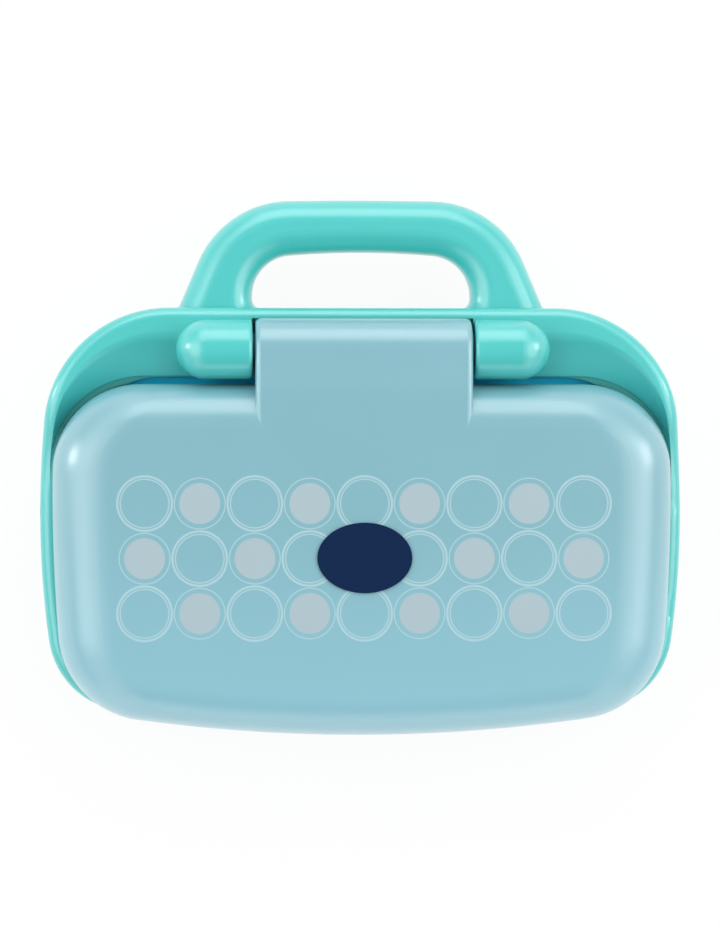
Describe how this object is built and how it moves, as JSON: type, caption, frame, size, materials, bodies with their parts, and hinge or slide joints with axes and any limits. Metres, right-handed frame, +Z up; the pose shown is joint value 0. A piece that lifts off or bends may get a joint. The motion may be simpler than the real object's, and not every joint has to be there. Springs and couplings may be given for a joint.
{
  "type": "toy laptop computer",
  "caption": "Closed clamshell toy laptop with a moulded carrying handle, a rounded lid hinged between two domed knuckles, press keys, touch pad, power slider, screen and battery bay.",
  "frame": {"origin": "on the floor under the middle of the overall box, lid closed and feet down", "axes": "+X to the right of a user at the front edge, +Y towards the hinge and handle, +Z up out of the lid"},
  "size_m": [0.25, 0.208, 0.0587],
  "materials": {
    "teal_plastic": "satin moulded plastic",
    "pale_blue_plastic": "satin moulded plastic with printed circles",
    "deck_blue_plastic": "fine-textured moulded plastic",
    "yellow_key": "glossy moulded plastic",
    "orange_key": "glossy moulded plastic",
    "white_key": "glossy moulded plastic",
    "red_button": "glossy moulded plastic",
    "green_button": "glossy moulded plastic",
    "touch_pad_plastic": "fine-textured moulded plastic",
    "slider_plastic": "moulded plastic",
    "navy_plastic": "glossy plate",
    "clear_plastic": "clear polished plastic",
    "display": "grey-green display",
    "light_guide_plastic": "milky clear plastic",
    "board_green": "solder mask",
    "black_plastic": "moulded plastic",
    "silicone": "silicone rubber",
    "foot_rubber": "soft rubber",
    "bumper_rubber": "soft clear rubber",
    "steel": "zinc-plated steel",
    "spring_steel": "nickel-plated spring steel",
    "nylon": "natural nylon",
    "paper": "pressed paper",
    "magnet": "sintered magnet",
    "cell_jacket": "printed metal jacket",
    "wire": "PVC insulation",
    "cable": "PVC insulation"
  },
  "bodies": {
    "base": {"base_bottom_case": "teal_plastic", "base_top_case": "teal_plastic", "keyboard_deck": "deck_blue_plastic", "rubber_membrane": "silicone", "main_board": "board_green", "slide_switch": "black_plastic", "sound_chip": "black_plastic", "capacitors": "black_plastic", "board_cable_socket": "nylon", "board_screws": "steel", "speaker_frame": "steel", "speaker_cone": "paper", "speaker_magnet": "magnet", "speaker_screws": "steel", "battery_cells": "cell_jacket", "battery_contacts": "spring_steel", "battery_leads": "wire", "speaker_leads": "wire", "hinge_cable_base": "cable", "hinge_pin_left": "steel", "hinge_pin_right": "steel", "hinge_washers": "nylon", "case_screws": "steel", "rubber_feet": "foot_rubber", "battery_door": "teal_plastic", "battery_door_screw": "steel"},
    "lid": {"lid_cover": "pale_blue_plastic", "lid_bezel": "deck_blue_plastic", "screen_lens": "clear_plastic", "display_panel": "display", "light_guide": "light_guide_plastic", "lid_board": "board_green", "screen_lamps": "nylon", "lid_cable_socket": "nylon", "lid_board_screws": "steel", "lid_screws": "steel", "badge_plate": "navy_plastic", "lid_bumpers": "bumper_rubber", "hinge_cable_lid": "cable"},
    "key_0": {"key_0": "yellow_key"},
    "key_1": {"key_1": "orange_key"},
    "key_2": {"key_2": "white_key"},
    "key_3": {"key_3": "yellow_key"},
    "key_4": {"key_4": "orange_key"},
    "key_5": {"key_5": "white_key"},
    "key_6": {"key_6": "yellow_key"},
    "key_7": {"key_7": "orange_key"},
    "key_8": {"key_8": "white_key"},
    "key_9": {"key_9": "yellow_key"},
    "music_button": {"music_button": "red_button"},
    "light_button": {"light_button": "green_button"},
    "touch_pad": {"touch_pad": "touch_pad_plastic"},
    "power_slider": {"power_slider": "slider_plastic"}
  },
  "joints": [
    {"name": "lid_hinge", "type": "hinge", "parent": "base", "child": "lid", "pos_m": [0, 0.0452, 0.0459], "axis": [-1, 0, 0], "range_deg": [0, 110]},
    {"name": "key_0_press", "type": "slide", "parent": "base", "child": "key_0", "axis": [0, 0, -1], "range_m": [0, 0.0015], "stiffness_N_per_m": 400, "springref_m": -0.002, "deforming": ["rubber_membrane"]},
    {"name": "key_1_press", "type": "slide", "parent": "base", "child": "key_1", "axis": [0, 0, -1], "range_m": [0, 0.0015], "stiffness_N_per_m": 400, "springref_m": -0.002, "deforming": ["rubber_membrane"]},
    {"name": "key_2_press", "type": "slide", "parent": "base", "child": "key_2", "axis": [0, 0, -1], "range_m": [0, 0.0015], "stiffness_N_per_m": 400, "springref_m": -0.002, "deforming": ["rubber_membrane"]},
    {"name": "key_3_press", "type": "slide", "parent": "base", "child": "key_3", "axis": [0, 0, -1], "range_m": [0, 0.0015], "stiffness_N_per_m": 400, "springref_m": -0.002, "deforming": ["rubber_membrane"]},
    {"name": "key_4_press", "type": "slide", "parent": "base", "child": "key_4", "axis": [0, 0, -1], "range_m": [0, 0.0015], "stiffness_N_per_m": 400, "springref_m": -0.002, "deforming": ["rubber_membrane"]},
    {"name": "key_5_press", "type": "slide", "parent": "base", "child": "key_5", "axis": [0, 0, -1], "range_m": [0, 0.0015], "stiffness_N_per_m": 400, "springref_m": -0.002, "deforming": ["rubber_membrane"]},
    {"name": "key_6_press", "type": "slide", "parent": "base", "child": "key_6", "axis": [0, 0, -1], "range_m": [0, 0.0015], "stiffness_N_per_m": 400, "springref_m": -0.002, "deforming": ["rubber_membrane"]},
    {"name": "key_7_press", "type": "slide", "parent": "base", "child": "key_7", "axis": [0, 0, -1], "range_m": [0, 0.0015], "stiffness_N_per_m": 400, "springref_m": -0.002, "deforming": ["rubber_membrane"]},
    {"name": "key_8_press", "type": "slide", "parent": "base", "child": "key_8", "axis": [0, 0, -1], "range_m": [0, 0.0015], "stiffness_N_per_m": 400, "springref_m": -0.002, "deforming": ["rubber_membrane"]},
    {"name": "key_9_press", "type": "slide", "parent": "base", "child": "key_9", "axis": [0, 0, -1], "range_m": [0, 0.0015], "stiffness_N_per_m": 400, "springref_m": -0.002, "deforming": ["rubber_membrane"]},
    {"name": "music_button_press", "type": "slide", "parent": "base", "child": "music_button", "axis": [0, 0, -1], "range_m": [0, 0.0015], "stiffness_N_per_m": 400, "springref_m": -0.002, "deforming": ["rubber_membrane"]},
    {"name": "light_button_press", "type": "slide", "parent": "base", "child": "light_button", "axis": [0, 0, -1], "range_m": [0, 0.0015], "stiffness_N_per_m": 400, "springref_m": -0.002, "deforming": ["rubber_membrane"]},
    {"name": "touch_pad_press", "type": "slide", "parent": "base", "child": "touch_pad", "axis": [0, 0, -1], "range_m": [0, 0.0015], "stiffness_N_per_m": 400, "springref_m": -0.002, "deforming": ["rubber_membrane"]},
    {"name": "power_slide", "type": "slide", "parent": "base", "child": "power_slider", "axis": [1, 0, 0], "range_m": [0, 0.008]}
  ]
}
